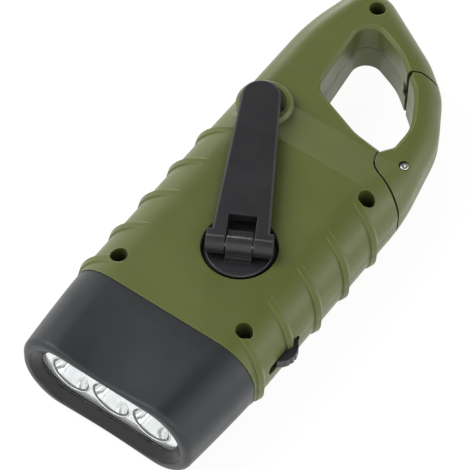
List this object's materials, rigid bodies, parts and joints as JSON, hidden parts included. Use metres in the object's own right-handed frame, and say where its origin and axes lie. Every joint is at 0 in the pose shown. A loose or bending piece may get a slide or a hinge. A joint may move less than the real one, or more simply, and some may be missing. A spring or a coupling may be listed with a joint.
{
  "type": "hand crank flashlight",
  "caption": "Palm-sized hand crank flashlight: rounded two-part housing, angled black lamp head, folding crank and a ring with a sprung snap-hook gate.",
  "frame": {"origin": "on the flat back face, where the crank shaft's axis meets it shifted sideways onto the body's middle line", "axes": "+Z leaves the front face, where the crank is folded down; +Y runs from the lamp head to the ring; the light shines towards -Y; +X is the side with the slide switch"},
  "size_m": [0.0576, 0.1431, 0.0296],
  "materials": {
    "green_housing": "satin moulded",
    "black_plastic": "satin moulded",
    "slider_black": "ridged, satin",
    "crank_black": "satin moulded",
    "screw_steel": "zinc plated",
    "pin_steel": "bright",
    "spring_steel": "bright wire",
    "bush_brass": "turned",
    "gear_plastic": "natural nylon",
    "magnet_grey": "sintered",
    "iron_grey": "punched",
    "coil_copper": "enamelled copper wire",
    "cell_wrap": "wrapped",
    "board_green": "solder mask",
    "window_clear": "clear plastic",
    "seal_rubber": "matte",
    "reflector_chrome": "metallised",
    "lamp_clear": "water-clear resin"
  },
  "bodies": {
    "housing": {"front_shell": "green_housing", "rear_shell": "green_housing", "shell_screws": "screw_steel", "gate_pin": "pin_steel", "gate_spring": "spring_steel", "hub_bush": "bush_brass", "idler_axle_1": "pin_steel", "idler_axle_2": "pin_steel", "gear_plate": "black_plastic", "stator_core": "iron_grey", "stator_coils": "coil_copper", "cell_pack": "cell_wrap", "charge_board": "board_green", "slide_switch": "black_plastic", "head_bezel": "black_plastic", "lens_window": "window_clear", "head_seal": "seal_rubber", "reflector": "reflector_chrome", "led_board": "board_green", "led_1": "lamp_clear", "led_2": "lamp_clear", "led_3": "lamp_clear"},
    "crank_hub": {"crank_hub": "crank_black", "hub_screw": "screw_steel", "drive_gear": "gear_plastic", "crank_hinge_pin": "pin_steel"},
    "crank_arm": {"crank_arm": "crank_black", "knob_screw": "screw_steel"},
    "crank_knob": {"crank_knob": "crank_black"},
    "carabiner_gate": {"carabiner_gate": "green_housing"},
    "switch_slider": {"switch_slider": "slider_black"},
    "idler_1": {"idler_gear_1": "gear_plastic"},
    "idler_2": {"idler_gear_2": "gear_plastic"},
    "rotor": {"generator_rotor": "magnet_grey", "rotor_shaft": "bush_brass"}
  },
  "joints": [
    {"name": "crank_spin", "type": "hinge", "parent": "housing", "child": "crank_hub", "pos_m": [0.00385, 0, 0.0248], "axis": [0, 0, 1], "continuous": true},
    {"name": "arm_fold", "type": "hinge", "parent": "crank_hub", "child": "crank_arm", "pos_m": [0.00452, -0.00123, 0.0273], "axis": [0.8788, 0.4772, 0], "range_deg": [0, 180]},
    {"name": "knob_spin", "type": "hinge", "parent": "crank_arm", "child": "crank_knob", "pos_m": [-0.01715, 0.03867, 0.0248], "axis": [0, 0, 1], "continuous": true},
    {"name": "gate_hinge", "type": "hinge", "parent": "housing", "child": "carabiner_gate", "pos_m": [0.0213, 0.0471, 0.0124], "axis": [0, 0, 1], "range_deg": [0, 20], "stiffness_Nm_per_rad": 0.08, "springref_deg": -17.19},
    {"name": "switch_slide", "type": "slide", "parent": "housing", "child": "switch_slider", "axis": [0, -1, 0], "range_m": [0, 0.003]},
    {"name": "idler_1_spin", "type": "hinge", "parent": "housing", "child": "idler_1", "pos_m": [-0.00259, 0.01769, 0.0124], "axis": [0, 0, 1], "continuous": true},
    {"name": "idler_2_spin", "type": "hinge", "parent": "housing", "child": "idler_2", "pos_m": [-0.0124, 0.00788, 0.0124], "axis": [0, 0, 1], "continuous": true},
    {"name": "rotor_spin", "type": "hinge", "parent": "housing", "child": "rotor", "pos_m": [-0.00928, -0.00379, 0.0124], "axis": [0, 0, 1], "continuous": true}
  ],
  "couplings": [
    {"joint": "idler_1_spin", "follows": "crank_spin", "ratio": -4},
    {"joint": "idler_2_spin", "follows": "crank_spin", "ratio": 14.4},
    {"joint": "rotor_spin", "follows": "crank_spin", "ratio": -57.6}
  ]
}
